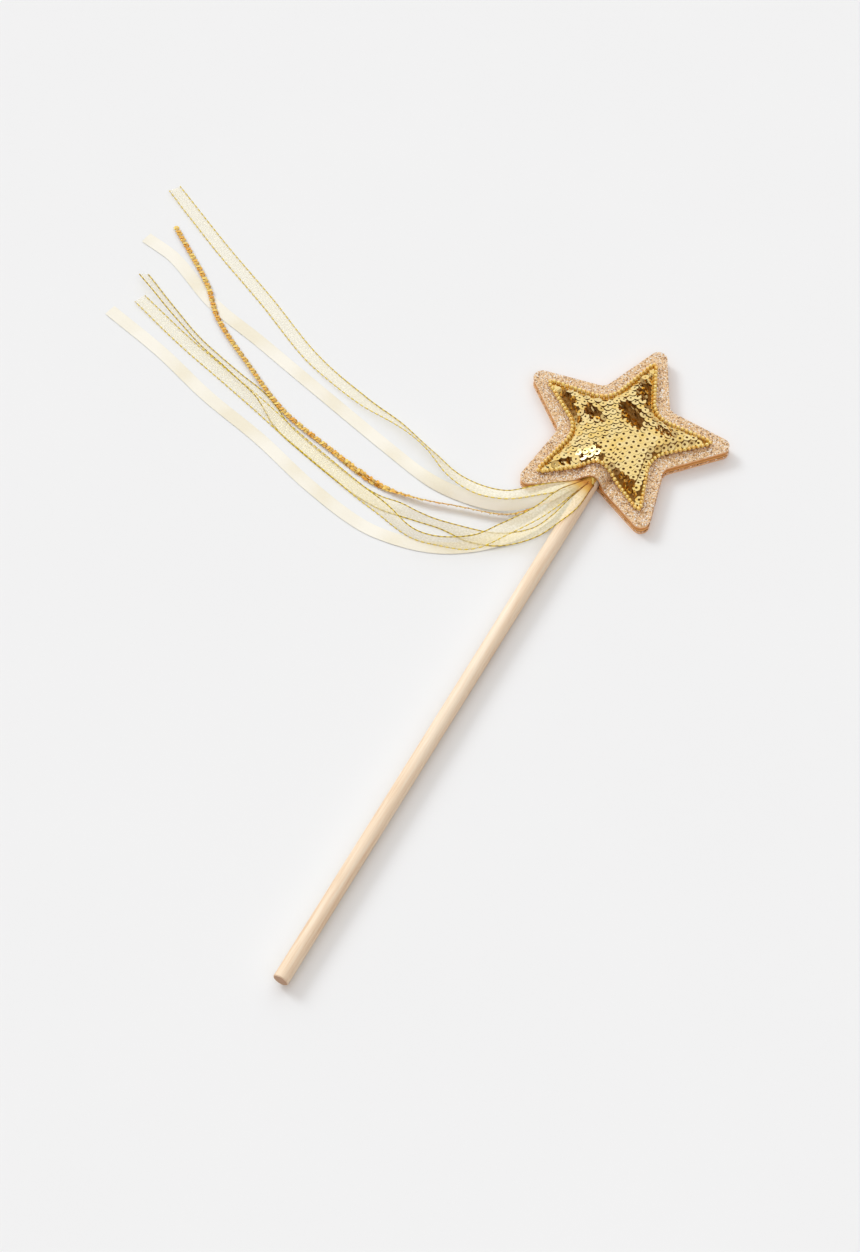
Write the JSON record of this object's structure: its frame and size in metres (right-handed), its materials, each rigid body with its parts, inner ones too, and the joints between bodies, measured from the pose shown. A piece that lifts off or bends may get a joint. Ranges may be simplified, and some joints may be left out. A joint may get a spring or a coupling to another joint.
{
  "type": "toy magic wand",
  "caption": "Toy magic wand: a padded glitter star with a beaded sequin patch on a round wooden stick, with loose organza, satin and sequin streamers.",
  "frame": {"origin": "centre of the stick's butt face", "axes": "+Y along the stick from its butt to the star, +Z out of the star's sequin face, with the streamers lying towards -X"},
  "size_m": [0.2972, 0.3551, 0.0129],
  "materials": {
    "wood": "sanded, unvarnished pale hardwood",
    "glitter_sheet": "champagne glitter coating",
    "foam": "matt foam sheet",
    "wadding": "loose wadding",
    "gold_cloth": "gold net",
    "gold_foil": "metallised gold",
    "gold_bead": "metallised gold",
    "cotton": "twisted thread",
    "organza": "sheer, with gold edge threads",
    "satin": "satin",
    "strand_gold": "metallised gold"
  },
  "bodies": {
    "root": {"stick": "wood", "star_back_sheet": "glitter_sheet", "star_core": "foam", "star_front_sheet": "glitter_sheet", "sequin_pad": "wadding", "sequin_cloth": "gold_cloth", "sequins": "gold_foil", "seed_beads": "gold_bead", "bead_thread": "cotton", "ribbon_bundle": "organza", "organza_ribbon_upper": "organza", "satin_ribbon_upper": "satin", "sequin_strand": "strand_gold", "organza_ribbon_middle": "organza", "organza_ribbon_lower": "organza", "satin_ribbon_lower": "satin"}
  },
  "joints": []
}
